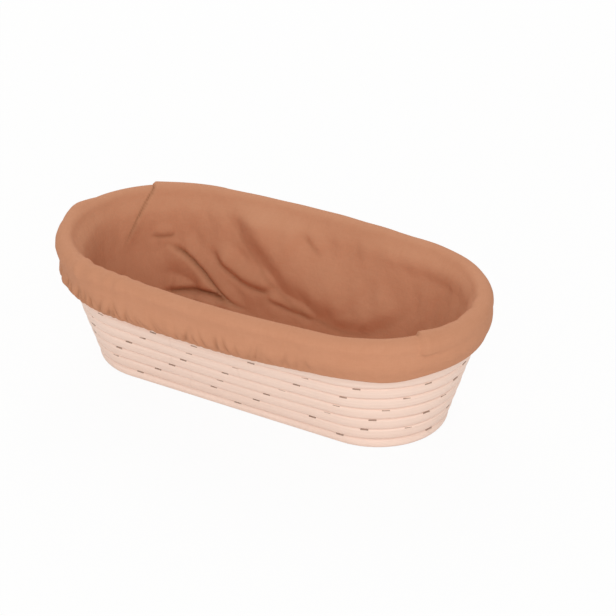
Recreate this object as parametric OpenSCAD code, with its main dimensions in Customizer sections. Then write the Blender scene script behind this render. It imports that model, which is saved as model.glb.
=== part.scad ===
// Oval proofing basket for bread: rattan cane wound and stapled course on course, with a cloth liner
// whose cuff is turned down over the rim and drawn in by an elastic hem.
// Millimetres, +Z up, +X along the length, origin at the middle of the base on the table.

/* [Basket] */
// Thickness of the cane, across its corners
cane_d = 8; // [6:0.1:10]
// Room between one course of cane and the next
course_gap = 0.5; // [0.45:0.05:1]
// Half the length of the straight run between the rounded ends
straight_half = 73; // [40:1:110]
// Loops of cane in the flat base
base_loops = 4; // [3:1:5]
// Courses of cane in the wall, wound from three lengths
wall_courses = 9; // [6:3:12]
// Lean of the wall from upright, in degrees
flare = 17; // [8:1:24]
// Outward bow of the long sides at the rim
side_bow = 7.5; // [0:0.5:12]

/* [Staples] */
// Length of a staple's crown
crown_l = 4.5; // [4:0.5:8]
// Length of a staple's legs
leg_l = 12; // [9:0.5:13]
// Width of the staple wire
wire_w = 0.8; // [0.6:0.1:1.4]
// Thickness of the staple wire
wire_t = 0.6; // [0.5:0.05:0.9]
// Spacing of the staples along a course of the wall
staple_step = 33; // [20:1:40]
// Shift of the staples from one course to the next
staple_shift = 9; // [8:0.5:12]
// How far a staple strays from its even spacing
staple_stray = 3; // [0:0.5:3]

/* [Liner] */
// Thickness of the liner cloth
cloth_t = 0.8; // [0.6:0.1:1]
// Room between the liner and the cane
cloth_room = 0.45; // [0.4:0.05:0.8]
// Room between the liner and the rim that it is turned over
rim_room = 1.1; // [0.9:0.1:1.5]
// Radius of the liner's bottom corner
corner_r = 12; // [6:1:20]
// Room where the liner's floor, wall and cuff meet
seam_room = 0.1; // [0.05:0.05:0.3]
// Depth of the cuff below the top of the rim
cuff_depth = 30; // [22:1:45]
// Rise of the hem at the right end
hem_rise = 5; // [0:0.5:8]
// Height of the hem's casing
casing_h = 5.5; // [5:0.5:8]
// Stand of the gathers at the hem
gather_h = 1.8; // [0:0.1:2.5]
// Height of the elastic band
elastic_h = 2.4; // [2:0.1:3]
// Thickness of the elastic band
elastic_t = 0.8; // [0.6:0.1:1]
// Share of the folds' full height
fold_share = 1; // [0:0.1:1]

/* [Hidden] */
cane_r = cane_d/2;
pitch = cane_d + course_gap;
// The underside is cut flat by a tenth of the cane's thickness
base_z = cane_r - cane_d/10;
base_rho = (base_loops + 0.5)*pitch;
wall_h = wall_courses*pitch*cos(flare);
cane_sides = 8;
round_fn = 48;

// Stations of one loop, from the back left: left end, front, right end and back
end_steps = 8;
front_steps = 4;
back_steps = 4;
front_from = end_steps;
right_from = front_from + front_steps;
back_from = right_from + end_steps;
loop_steps = back_from + back_steps;
// Stations at the end of the back over which every loop climbs to the next
climb_steps = 3;
climb_from = loop_steps - climb_steps;

// Liner and cuff measures
liner_out = cane_r + cloth_room;
liner_in = liner_out + cloth_t;
roll_in = cane_r + rim_room;
roll_out = roll_in + cloth_t;
rim = [base_rho + wall_h*tan(flare), base_z + wall_h];
top_z = rim[1] + roll_out;
hem_z = top_z - cuff_depth;
casing_top = hem_z + casing_h;
// Room in the casing for the upright band along the leaning wall
casing_room = elastic_t + elastic_h*sin(flare) + 0.5;
casing_out = liner_in + casing_room;
hem_out = casing_out + cloth_t;
elastic_z = hem_z + cloth_t + (casing_h - cloth_t)/2;

// Main folds on the liner's back wall: x and z of one end, x and z of the other, height, half width
folds = [
    [[-52, 77], [-19, 48], 6, 9],
    [[-19, 48], [38, 29], 7.5, 10],
    [[-67, 49], [-38, 37], 4.5, 6],
    [[-94, 43], [-58, 18], 6, 7],
    [[-96, 16], [-64, 16], 5, 6],
    [[-105, 78], [-111, 56], 2, 8]
];

rattan = [0.91, 0.80, 0.73];
wire_grey = [0.30, 0.27, 0.25];
terracotta = [0.79, 0.56, 0.43];
ecru = [0.88, 0.84, 0.77];

function mix(a, b, f) = a + (b - a)*f;
function polar(c, r, a) = [c[0] + r*cos(a), c[1] + r*sin(a)];
function wrap(j) = j - loop_steps*floor(j/loop_steps);

// Outline of the basket at a distance rho from the line that joins the two end centres
function end_point(side, rho, a) = [side*straight_half + rho*cos(a), rho*sin(a)];
function outline(j, rho) =
    j <= front_from ? end_point(-1, rho, 90 + 180*j/end_steps)
    : j <= right_from ? [straight_half*(2*(j - front_from)/front_steps - 1), -rho]
    : j <= back_from ? end_point(1, rho, 180*(j - right_from)/end_steps - 90)
    : [straight_half*(1 - 2*(j - back_from)/back_steps), rho];

// The long sides bow out more the higher they are
function bow(z) = side_bow*max(0, z - base_z)/wall_h;
function bowed(p, rho, z) =
    [p.x, p.y*(1 + bow(z)/rho*pow(cos(90*p.x/(straight_half + rho)), 2))];
function at_station(j, rho, z) = bowed(outline(wrap(j), rho), rho, z);

// Between stations the outline is straight, for cane and cloth alike
function on_plan(j, rho, z) =
    mix(at_station(floor(j), rho, z), at_station(floor(j) + 1, rho, z), j - floor(j));
function heading(j, rho, z) =
    let(d = at_station(j + 1, rho, z) - at_station(j - 1, rho, z)) atan2(d.y, d.x);

// Courses are numbered from the innermost loop of the base, then up the wall
function lean(n) = n <= base_loops ? 90 : flare;
function course(n) =
    n <= base_loops ? [(n + 0.5)*pitch, base_z]
    : [base_rho, base_z] + (n - base_loops)*pitch*[sin(flare), cos(flare)];
function toward_next(n) = [sin(lean(n)), cos(lean(n))];
function climb(j) = max(0, (j - climb_from)/climb_steps);
function climbing(n, j) = mix(course(n), course(n + 1), climb(j));

// A ring of the winding: its place in the section, its radius, its station and its course
function ring(n, j) = [climbing(n, j), cane_r, j, n];

// The ends are shaved down beside the stretch where the neighbouring loop climbs past
function shave(f) = (f*pitch - course_gap)/cane_d;
function shaved(n, j, q, side) =
    [course(n) + side*cane_r*(1 - q)*toward_next(n), cane_r*q, j, n];
function first_end(n) =
    [for (j = [climb_from + 1 : loop_steps - 1]) shaved(n, j, shave(climb(j)), -1)];
function last_end(n) =
    [for (j = [climb_from : loop_steps - 1]) shaved(n, j, shave(1 - climb(j)), 1)];

// One length of cane from course a to course b, shaved at its ends or butted to the next length
function winding(a, b, starts, ends) = concat(
    starts ? first_end(a) : [],
    [for (n = [a : b], j = [0 : loop_steps - 1]) if (!(ends && n == b && j >= climb_from)) ring(n, j)],
    ends ? last_end(b) : [ring(b + 1, 0)]
);

function ring_centre(r) = concat(at_station(r[2], r[0][0], r[0][1]), [r[0][1]]);
function ring_points(r) =
    let(c = ring_centre(r), h = heading(r[2], r[0][0], r[0][1]))
    [for (i = [0 : cane_sides - 1])
        let(a = 90 - lean(r[3]) + 360*(i + 0.5)/cane_sides)
        [
            c.x + r[1]*cos(a)*sin(h),
            c.y - r[1]*cos(a)*cos(h),
            max(0, c.z + r[1]*sin(a))
        ]
    ];

// Least room between a length of cane and its own next turn
function least_gap(rings) = min([
    for (i = [0 : len(rings) - loop_steps + 1])
        for (k = [i + loop_steps - 2 : min(len(rings) - 1, i + loop_steps + 2)])
            norm(ring_centre(rings[i]) - ring_centre(rings[k])) - rings[i][1] - rings[k][1]
]);

module tube(rings) {
    n = cane_sides;
    last = (len(rings) - 1)*n;
    points = [for (r = rings) each ring_points(r)];
    walls = [
        for (k = [0 : len(rings) - 2], i = [0 : n - 1])
            let(a = k*n + i, b = k*n + (i + 1)%n)
            each [[a, b, b + n], [a, b + n, a + n]]
    ];
    caps = [for (i = [1 : n - 2]) each [[0, i + 1, i], [last, last + i, last + i + 1]]];
    polyhedron(points, concat(walls, caps));
}

module cane_length(name, a, b, starts, ends) {
    rings = winding(a, b, starts, ends);
    echo(str("least gap of ", name, " to itself, mm: "), least_gap(rings));
    color(rattan) tube(rings);
}

// One of the two straight canes at the heart of the base, with rounded ends and a flat underside
module core_cane(side) {
    color(rattan)
    difference() {
        translate([0, side*pitch/2, base_z])
        rotate([0, 90, 0])
        rotate_extrude($fn = round_fn)
        core_profile();
        translate([-straight_half - pitch, -2*pitch, -pitch])
        cube([2*(straight_half + pitch), 4*pitch, pitch]);
    }
}

module core_profile() {
    intersection() {
        union() {
            translate([0, -straight_half]) square([cane_r, 2*straight_half]);
            for (y = [-straight_half, straight_half]) translate([0, y]) circle(cane_r, $fn = round_fn);
        }
        translate([0, -straight_half - cane_d]) square([cane_d, 2*(straight_half + cane_d)]);
    }
}

// Wall lengths: each of the three takes a third of the courses
function wall_from(third) = base_loops + 1 + third*wall_courses/3;
function wall_to(third) = base_loops + (third + 1)*wall_courses/3;

module front_core_cane() { core_cane(-1); }
module back_core_cane() { core_cane(1); }
module base_coil() { cane_length("base_coil", 1, base_loops, true, true); }
module lower_wall_coil() { cane_length("lower_wall_coil", wall_from(0), wall_to(0), true, false); }
module middle_wall_coil() { cane_length("middle_wall_coil", wall_from(1), wall_to(1), false, false); }
module upper_wall_coil() { cane_length("upper_wall_coil", wall_from(2), wall_to(2), false, true); }

// The crown of a staple lies along the upper flank of a course, in the groove, and its two legs go
// through that course into the one before
crown_angle = 45;
crown_rho = cane_r - wire_t/6;

function end_length(rho) = 2*end_steps*rho*sin(90/end_steps);
function loop_length(rho) = 2*end_length(rho) + 4*straight_half;
function station_at(d, rho) =
    let(e = end_length(rho), s = 2*straight_half)
    d < e ? end_steps*d/e
    : d < e + s ? front_from + front_steps*(d - e)/s
    : d < 2*e + s ? right_from + end_steps*(d - e - s)/e
    : back_from + back_steps*(d - 2*e - s)/s;

// The innermost loop is stapled only along the straight canes, a loop that starts or ends with a shaved
// end only where it is full, and none where two lengths of cane are butted
last_course = base_loops + wall_courses;
function stapled(n, d, p) =
    (n > 1 || abs(p.x) < straight_half - crown_l)
    && min(d, guide_length - d) > crown_l
    && (station_at(d, guide_rho) < climb_from || (n != base_loops && n != base_loops + 1 && n != last_course));

module staple() {
    rotate([90, 0, 0])
    linear_extrude(height = wire_w, center = true)
    polygon([
        [-crown_l/2, wire_t/2], [crown_l/2, wire_t/2],
        [crown_l/2, wire_t - leg_l], [crown_l/2 - wire_t, -leg_l], [crown_l/2 - wire_t, -wire_t/2],
        [wire_t - crown_l/2, -wire_t/2], [wire_t - crown_l/2, -leg_l], [-crown_l/2, wire_t - leg_l]
    ]);
}

// Staples are set out along one guide course, and keep their stations on all the others
guide_rho = course(base_loops + round(2*wall_courses/3))[0];
guide_length = loop_length(guide_rho);
staple_count = 2*floor(guide_length/staple_step/2);

// Distance of a staple along the guide: the loops of the base have every second one, set between those
// of the loop before, and the courses of the wall step on by the shift and stray by hand
function stray(n, i) = staple_stray*sin(71*n + 137*i);
function staple_place(n, i) =
    n <= base_loops ? guide_length*(2*i + 1 + n%2)/staple_count
    : guide_length*(i + 0.5)/staple_count + (n - base_loops - 1)*staple_shift + stray(n, i);

// A point on the flank of a course, at a distance along the guide
function rest(d) = d - guide_length*floor(d/guide_length);
function flank_point(n, d) =
    let(
        j = station_at(rest(d), guide_rho),
        place = polar(climbing(n + floor(d/guide_length), j), crown_rho, crown_angle)
    )
    concat(on_plan(j, place[0], place[1]), [place[1]]);

// A crown is straight between two points of the flank, so that it stands out nowhere on the ends
module staple_row(n) {
    inward = crown_rho*cos(crown_angle) + pitch*sin(lean(n));
    down = crown_rho*sin(crown_angle) + pitch*cos(lean(n));
    for (i = [0 : (n <= base_loops ? staple_count/2 : staple_count) - 1]) {
        d = rest(staple_place(n, i));
        a = flank_point(n, d - crown_l/2);
        b = flank_point(n, d + crown_l/2);
        if (stapled(n, d, a))
            translate((a + b)/2)
            rotate([atan2(inward, down), 0, atan2(b.y - a.y, b.x - a.x)])
            staple();
    }
}

module staple_group(a, b) {
    color(wire_grey)
    for (n = [a : b]) staple_row(n);
}

module base_staples() { staple_group(1, base_loops); }
module lower_wall_staples() { staple_group(wall_from(0), wall_to(0)); }
module middle_wall_staples() { staple_group(wall_from(1), wall_to(1)); }
module upper_wall_staples() { staple_group(wall_from(2), wall_to(2)); }

// Cloth: rows of a section carried around the outline. A row is a distance, a height and the
// direction in which the cloth faces.
function wall_rho(z, out) = base_rho + (z - base_z)*tan(flare) + out/cos(flare);
function wall_row(z, out) = [wall_rho(z, out), z, out < 0 ? 180 - flare : -flare];
function roll_row(r, a) = concat(polar(rim, r, a), [a]);

// Centre of the rounded corner between floor and wall
corner_heart = [
    wall_rho(base_z + liner_out, -liner_out) - corner_r*tan(45 - flare/2),
    base_z + liner_out + corner_r
];

// The wall ends just short of the top of the rim, where the cuff begins
top_angle = 90 + seam_room/roll_out*180/PI;

// Section of the wall at a depth inside the cane's centre line, from the floor's edge to the rim
function liner_section(depth, r, roll, corners, walls, rolls) =
    let(low = corner_heart[1] - r*sin(flare), high = rim[1] + depth*sin(flare))
    concat(
        [for (i = [0 : corners])
            let(a = (90 - flare)*i/corners - 90)
            concat(polar(corner_heart, r, a), [a + 180])],
        [for (i = [1 : walls]) wall_row(mix(low, high, i/walls), -depth)],
        [for (i = [1 : rolls]) roll_row(roll, mix(180 - flare, top_angle, i/rolls))]
    );

// Columns: how many fall in each stretch between two stations of the left end, front, right end and back
function stretch_columns(j, counts) =
    j < front_from ? counts[0] : j < right_from ? counts[1] : j < back_from ? counts[2] : counts[3];
function columns(counts) = [
    for (j = [0 : loop_steps - 1])
        let(c = stretch_columns(j, counts))
        for (i = [0 : c - 1]) j + i/c
];

function segment_distance(p, a, b) =
    let(f = max(0, min(1, (p - a)*(b - a)/((b - a)*(b - a))))) norm(p - mix(a, b, f));
function on_wall(z) = max(0, min(1, (rim[1] - z)/pitch, (z - base_z - liner_in)/pitch));
function fold_height(p, z) =
    p.y <= 0 ? 0
    : fold_share*on_wall(z)*max([
        for (f = folds) f[2]*exp(-pow(segment_distance([p.x, z], f[0], f[1])/f[3], 2))
    ]);

function cloth_point(row, j, h) =
    let(rho = row[0] + h*cos(row[2]), z = row[1] + h*sin(row[2]))
    concat(on_plan(j, rho, z), [z]);

function band_faces(a, b, n) = [
    for (i = [0 : n - 1])
        let(k = (i + 1)%n)
        each [[a + i, b + i, b + k], [a + i, b + k, a + k]]
];

// A closed section carried around the outline
module cloth_ring(points, n) {
    rows = len(points)/n;
    polyhedron(points, [for (k = [0 : rows - 1]) each band_faces(k*n, (k + 1)%rows*n, n)]);
}

// The floor panel is cut to the outline and sewn to the wall along its edge
module liner_floor() {
    color(terracotta)
    translate([0, 0, base_z + liner_out])
    linear_extrude(height = cloth_t)
    polygon([for (j = [0 : loop_steps - 1]) at_station(j, corner_heart[0] - seam_room, base_z + liner_out)]);
}

// The wall hugs the cane outside and hangs in its folds inside
module liner_wall() {
    outside = liner_section(liner_out, corner_r, roll_in, 2, 2, 2);
    inside = liner_section(liner_in, corner_r - cloth_t, roll_out, 3, 9, 2);
    stations = columns([2, 1, 1, 5]);
    points = concat(
        [for (row = outside, j = stations) cloth_point(row, j, 0)],
        [for (i = [len(inside) - 1 : -1 : 0], j = stations)
            let(row = inside[i])
            cloth_point(row, j, fold_height(on_plan(j, row[0], row[1]), row[1]))]
    );
    color(terracotta) cloth_ring(points, len(stations));
}

// Gathers stand on every second column, most on the left and the front
function gather(i, j) = i%2 == 0 ? 0 : gather_h*(0.6 + 0.4*cos(360*(j - front_from)/loop_steps));

// The hem lies higher from the middle of the basket to its right end
function hem_lift(j) =
    let(x = on_plan(j, rim[0], rim[1]).x)
    hem_rise*pow(sin(90*max(0, min(1, x/(straight_half + base_rho)))), 2);

// The cuff runs over the rim, down outside the cane, and turns under into the casing of the elastic
function cuff_section(lift) =
    let(hem = hem_z + lift, casing = casing_top + lift, lip = cloth_t/2)
    [
        roll_row(roll_in, 90),
        roll_row(roll_in, mix(90, -flare, 1/3)),
        roll_row(roll_in, mix(90, -flare, 2/3)),
        roll_row(roll_in, -flare),
        wall_row(casing + cloth_t, casing_out),
        wall_row(hem + cloth_t, casing_out),
        wall_row(hem + cloth_t, liner_in),
        wall_row(casing, liner_in),
        wall_row(casing, liner_out),
        wall_row(hem + lip, liner_out),
        wall_row(hem, (liner_out + hem_out)/2),
        wall_row(hem + lip, hem_out),
        wall_row(casing, hem_out),
        wall_row((casing + rim[1])/2, (roll_out + hem_out)/2),
        roll_row(roll_out, -flare),
        roll_row(roll_out, mix(90, -flare, 2/3)),
        roll_row(roll_out, mix(90, -flare, 1/3)),
        roll_row(roll_out, 90)
    ];
// Share of the gathers' stand that each row of the section takes
cuff_stand = [0, 0, 0, 0, 0.6, 1, 0, 0, 0, 0, 0.5, 1, 0.6, 0.3, 0, 0, 0, 0];

module liner_cuff() {
    stations = columns([2, 3, 1, 2]);
    sections = [for (j = stations) cuff_section(hem_lift(j))];
    points = [
        for (k = [0 : len(cuff_stand) - 1], i = [0 : len(stations) - 1])
            cloth_point(sections[i][k], stations[i], cuff_stand[k]*gather(i, stations[i]))
    ];
    color(terracotta) cloth_ring(points, len(stations));
}

// A flat elastic band stands in the casing
module hem_elastic() {
    corners = [[1, -1], [1, 1], [-1, 1], [-1, -1]];
    points = [
        for (c = corners, j = [0 : loop_steps - 1])
            let(
                z = elastic_z + hem_lift(j),
                rho = wall_rho(z, liner_in + casing_room/2) + c[0]*elastic_t/2
            )
            concat(at_station(j, rho, z), [z + c[1]*elastic_h/2])
    ];
    color(ecru) cloth_ring(points, loop_steps);
}

front_core_cane();
back_core_cane();
base_coil();
lower_wall_coil();
middle_wall_coil();
upper_wall_coil();
base_staples();
lower_wall_staples();
middle_wall_staples();
upper_wall_staples();
liner_floor();
liner_wall();
liner_cuff();
hem_elastic();
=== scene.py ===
"""Finish of an oval proofing basket: wound cane, staples and a draped cloth liner."""
import math
import random

import bmesh
import bpy
import numpy as np
from bpy.props import FloatProperty, FloatVectorProperty, IntProperty, PointerProperty
from mathutils import Matrix, Vector


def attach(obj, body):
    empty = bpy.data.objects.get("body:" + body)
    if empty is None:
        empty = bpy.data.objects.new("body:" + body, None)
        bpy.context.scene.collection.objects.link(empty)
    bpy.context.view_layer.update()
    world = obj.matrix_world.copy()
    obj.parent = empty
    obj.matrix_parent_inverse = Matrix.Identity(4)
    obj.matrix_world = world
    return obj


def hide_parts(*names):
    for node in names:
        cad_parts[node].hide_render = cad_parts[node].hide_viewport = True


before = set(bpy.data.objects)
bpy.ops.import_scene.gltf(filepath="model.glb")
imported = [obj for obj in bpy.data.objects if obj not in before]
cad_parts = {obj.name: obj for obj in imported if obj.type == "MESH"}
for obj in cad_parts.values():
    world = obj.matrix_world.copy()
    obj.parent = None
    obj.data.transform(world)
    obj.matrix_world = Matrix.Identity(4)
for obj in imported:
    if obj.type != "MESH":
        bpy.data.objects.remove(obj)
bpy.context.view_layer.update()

bl_info = {
    "name": "Proofing basket finish",
    "version": (1, 0, 0),
    "blender": (4, 5, 0),
    "location": "View3D > Sidebar > Basket",
    "description": "Winds the cane, drives the staples and drapes the liner of an oval proofing basket",
    "category": "Object",
}

UP = Vector((0, 0, 1))
# About a full turn, for phases that are drawn
FULL_TURN = 6.3

# The wound form, in metres, as in the part's source
STRAIGHT = 0.073
PITCH = 0.0085
GAP = 0.0005
BASE_LOOPS = 4
WALL_COURSES = 9
LAST_COURSE = BASE_LOOPS + WALL_COURSES
FLARE = math.radians(17)
SIDE_BOW = 0.0075
BASE_Z = 0.0032
BASE_RHO = (BASE_LOOPS + 0.5)*PITCH
WALL_H = WALL_COURSES*PITCH*math.cos(FLARE)
RIM_RHO = BASE_RHO + WALL_H*math.tan(FLARE)
RIM_Z = BASE_Z + WALL_H

# Stations of one loop, from the back left: left end, front, right end and back. Then the stations where
# a loop starts to climb, and where the shaved ends of a length of cane start and stop.
END_STEPS, SIDE_STEPS = 8, 4
FRONT_FROM = END_STEPS
RIGHT_FROM = FRONT_FROM + SIDE_STEPS
BACK_FROM = RIGHT_FROM + END_STEPS
STATIONS = BACK_FROM + SIDE_STEPS
LOOP_MARKS = (0, FRONT_FROM, RIGHT_FROM, BACK_FROM, STATIONS)
CLIMB_FROM = STATIONS - 3
SHAVED_FROM, SHAVED_TO, SHAVED_RINGS = 21.7, 23.3, 14

# Lengths of cane, each with its own staples: name, first and last course, shaved at its start and at its
# end, and how square its section is, where 2 is round
LENGTHS = (
    ("base", 1, 4, True, True, 2.3),
    ("lower_wall", 5, 7, True, False, 4.6),
    ("middle_wall", 8, 10, False, False, 4.6),
    ("upper_wall", 11, 13, False, True, 2.8),
)
# The cane's section, its crown, and the rings of cane along each end and each side of a loop
SECTION_SIDES, FACE_CROWN, CANE_PARTS = 24, 0.08, (32, 24)
# Waves that make a course stray: count, rate for each metre and change in depth. Then the step along the
# grain from one length to the next.
WAVER_COUNT, WAVER_RATE, DEPTH_WAVER = 6, (8, 60), 0.012
GRAIN_STEP = 3.1
# A crown's place as a share of the cane's depth in the base, and of its height and depth in the wall
BASE_CROWN, WALL_CROWN_UP, WALL_CROWN_OUT = 0.57, 0.445, 0.40
# Degrees by which a staple's stray goes on with each course and each staple, and how far a staple is sunk
# in at most, in metres, and tilted, in radians
COURSE_TURN, STAPLE_TURN = 71, 137
STAPLE_SINK, STAPLE_TILT = 0.0005, 0.06

# The liner's section, in metres from the centre line of the cane: back and middle of the cloth, the roll
# over the rim and its fuller inner side, and the bend at the floor
CLOTH_BACK, CLOTH_MID = 0.00445, 0.00485
ROLL_R, ROLL_FULLER = 0.0051, 0.05
BEND_BACK, BEND_MID = 0.012, 0.0116
BEND_Z = BASE_Z + CLOTH_BACK + BEND_BACK
# The cuff outside and the casing of the elastic, in metres
HEM_Z = RIM_Z + 0.0059 - 0.030
HEM_RISE = 0.005
CUFF_BELLY = 0.0009
CASING_TOP = HEM_Z + 0.0055
CASING_OUT, CASING_IN, BACK_SHORT = 0.0072, 0.0050, 0.0003
TURN_R = (CASING_OUT - CASING_IN)/2
TURN_Z = HEM_Z + 1.5*TURN_R
# Share of the gathers at the top of the casing and at the hem
CASING_GATHER, HEM_GATHER = 0.9, 0.3
# Faces up the bend, the wall, the roll, the cuff, and the front, turn and back of the casing
BEND_STEPS, WALL_STEPS, ROLL_STEPS, CUFF_STEPS = 5, 46, 12, 13
FRONT_STEPS, TURN_STEPS, BACK_STEPS = 4, 5, 2
# How close the band's columns stand: station and share. They are closest where the cloth is worked most.
CLOSENESS = ((0, 1.3), (3, 1.1), (5, 1.3), (10.5, 1.3), (12.5, 0.7), (19, 0.6), (20.5, 0.7), (22, 1.3),
             (STATIONS, 1.3))

# Folds of the liner: points in x and z along the valley, then in millimetres the height, the distance
# from the valley to the crest, the width, the stand of the cloth behind the valley, and the lean over
# the valley at the start and the end; last, the strength at the start and the end of the painted shade
# along the valley, which also presses the fold down. The crest is on the left of the way along.
BACK_FOLDS = (
    (((-88, 90), (-64, 71), (-47, 55), (-31, 40), (-16, 30), (6, 24), (46, 18)),
     6.4, 14, 40, 0.3, (0, 1), (0, 0.5)),
    (((-76, 50), (-58, 37), (-41, 31), (-30, 31), (-19, 33)), 4.2, 5, 15, 1.4, (0.5, 1.6), (0.4, 0.7)),
    (((-36, 17), (-51, 18), (-59, 23), (-71, 31), (-84, 40), (-93, 45), (-102, 50)),
     5, 2.4, 16, 2.6, (1.8, 1.2), (1, 1)),
    (((-33, 28), (-18, 25), (-3, 24), (10, 22)), 3.2, 3, 9, 1, (0.8, 1), (0.5, 0.5)),
    (((-47, 15), (-57, 19), (-66, 22), (-80, 21), (-89, 20), (-100, 19)), 7, 6, 17, 3.4, (1, 1), (1.2, 1.2)),
    (((-109, 54), (-102, 53), (-95, 54)), 1.3, 1.6, 8, 0.5, (0.7, 0.5), (0.6, 0.6)),
    (((-2, 26), (16, 22), (34, 21), (50, 25), (62, 34), (70, 46)), 3.6, 9, 30, 0.2, (0.6, 0.3), (0.5, 0.1)),
    (((-12, 70), (-3, 63), (6, 58)), 1.1, 2.5, 10, 0.3, (0.3, 0.3), (0.3, 0.3)),
)
FRONT_FOLDS = (
    (((58, 72), (44, 58), (30, 44), (8, 30), (-20, 20)), 1.6, 8, 26, 0, (0, 0.4), (0, 0.2)),
    (((-30, 66), (-44, 52), (-64, 36), (-86, 24)), 1.4, 8, 24, 0, (0, 0.4), (0, 0.2)),
)
# Where a fold comes up and runs out, as shares of its length; in millimetres the width of the painted shade
# along its valley, and the rounding, the flat and the fade of the stand behind it; and how far a fold is
# pressed down in its valley
FOLD_IN, FOLD_OUT = 0.3, 0.22
VALLEY_SHADE_WIDTH, BEHIND_ROUND, BEHIND_FLAT, BEHIND_FADE = 1.3, 1.6, 3, 11
CREASE_PRESS = 0.85
# From where to where the folds change between the back and the front, in metres of y
SIDE_EDGE, SIDE_FADE = 0.002, 0.012

# Seams that close the band, at opposite corners: station at the top of the rim, stations that they
# run on for each metre down inside, height of the lap, which side of the line lies on top, and how far
# down they show inside and outside
SEAMS = ((1.80, 40, 0.0021, 1, 0.030, 0.016), (14.3, 25, 0.0022, -1, 0.012, 0.006))
# A lap's edge, the length over which it lies down again, and how far its edge stands over, in metres
LAP_EDGE, LAP_FADE, LAP_OVER = 0.0009, 0.016, 0.0016

# Creases of the gathered hem, each drawn between two values: depth, spread, reach up the cuff, slant, and
# the step to the next, in metres where it is a length. They are deepest at one station and shallow away.
PLEAT_DEPTH, PLEAT_SPREAD, PLEAT_REACH = (0.4, 1.0), (0.0010, 0.0017), (0.005, 0.017)
PLEAT_SLANT, PLEAT_STEP = (-0.8, 0.5), (0.0025, 0.0072)
GATHERED_AT, GATHER_LEAST = FRONT_FROM - 2, 0.08
# How dark the painted shade in the gathers' creases is
PUCKER_SHADE = 0.8
# Share of the gathers' stand by which the cloth hangs lower
GATHER_DROP = 0.12

# How far the cloth stands out unevenly, in metres: the wall, the slack below the rim, the stretch that
# spans from the rim, the cuff's crumples and swells, and the roll's waves, puckers and bumps
WALL_UNEVEN = 0.0016
RIM_SLACK, RIM_SPAN = 0.0045, 0.0026
CUFF_CRUMPLE, CUFF_SWELL = 0.0007, 0.0006
ROLL_WAVE, ROLL_PUCKER, ROLL_BUMP = 0.00025, 0.0011, 0.0012
# How far the roll stands off in the left corner, the cuff and the hem hug the cane, and the hem hangs
# lower and higher than its even line, in metres
CORNER_STAND = 0.0028
CUFF_HUG, HEM_HUG = 0.0028, 0.0014
HEM_LOWER, HEM_HIGHER = 0.0027, 0.0011
# Where on the way round this is, as a station and a spread
SMOOTH_ENDS = ((4.5, 2.6), (16, 3.0))
SMOOTH_SHARE = 0.8
NO_SLACK, SPANNED = (17.6, 3.0), (19.4, 1.4)
PUCKERED_ROLL, BUMPY_ROLL = (7.4, 1.1), (16.1, 1.0)
CORNER, CORNER_ROUND = (4.05, 0.66), 0.012
HUGGED = (6.3, 1.3)
LOW_HEM, HIGH_HEM = (13.6, 0.75), (7.0, 0.8)
# Where it is on the way up, in metres from the rim: start, rise, end and fall of the share, and for the
# roll its middle and spread
WALL_BELT = (0.0078 - RIM_Z, 0.005, 0.004, 0.012)
SLACK_BELT = (-0.034, 0.024, 0.0025, 0.012)
SPAN_BELT = (-0.0135, 0.009, 0.004, 0.008)
ROLL_HEIGHT = (0.003, 0.008)
# Angles that part the roll's outer and inner side, in radians
OUTER_TO, INNER_FROM, SIDE_TURN = 2.1, 1.3, 0.9

# The floor panel: shares of its rings, parts of each end and each side, and its rumples and its gap to the
# band, in metres
FLOOR_RINGS = (1, 0.985, 0.94, 0.86, 0.74, 0.6, 0.45, 0.3, 0.15, 0)
FLOOR_PARTS = (24, 40)
FLOOR_RUMPLE, FLOOR_GAP = 0.0003, 0.0001

# Half the distance between two joints of the cane, and half a joint's width, in metres
JOINT_APART, JOINT_WIDTH = 0.14, 0.0012

# The stage: lamps by place and size in metres, and the camera
KEY_PLACE, KEY_SIZE = (0.85, -1.45, 0.95), 1.4
BACK_PLACE, BACK_SIZE, BACK_SHARE = (-0.9, 1.2, 1.1), 1.6, 0.75
LAMP_AIM = (0, 0, 0.04)
FLOOR_SIZE, FLOOR_Z = 3, -0.0002
FLOOR_WHITE = 0.93
AZIMUTH, ELEVATION, DISTANCE = math.radians(30.77), math.radians(28.73), 1.356
CAMERA_AIM, AIM_RIGHT, AIM_UP = (0, 0, 0.0408), 0.02272, 0.00637
SENSOR_MM = 36


def srgb(r, g, b):
    """A colour from 0 to 255, as the linear values that sockets take."""
    def linear(c):
        c /= 255
        return c/12.92 if c <= 0.04045 else ((c + 0.055)/1.055)**2.4
    return linear(r), linear(g), linear(b)


# Settings


class CaneSettings(bpy.types.PropertyGroup):
    """The wound cane."""
    height: FloatProperty(
        name="Height", description="Height of a course of cane", default=0.00842, unit="LENGTH")
    depth: FloatProperty(
        name="Depth", description="Depth of the cane through the wall", default=0.0079, unit="LENGTH")
    waver: FloatProperty(
        name="Waver", description="How far a course strays from its line", default=0.00014, unit="LENGTH")
    colour: FloatVectorProperty(
        name="Colour", description="Colour of the peeled cane", subtype="COLOR",
        default=srgb(245, 220, 207))
    streak: FloatVectorProperty(
        name="Streaks", description="Colour of the darker fibres", subtype="COLOR",
        default=srgb(229, 199, 184))


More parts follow.
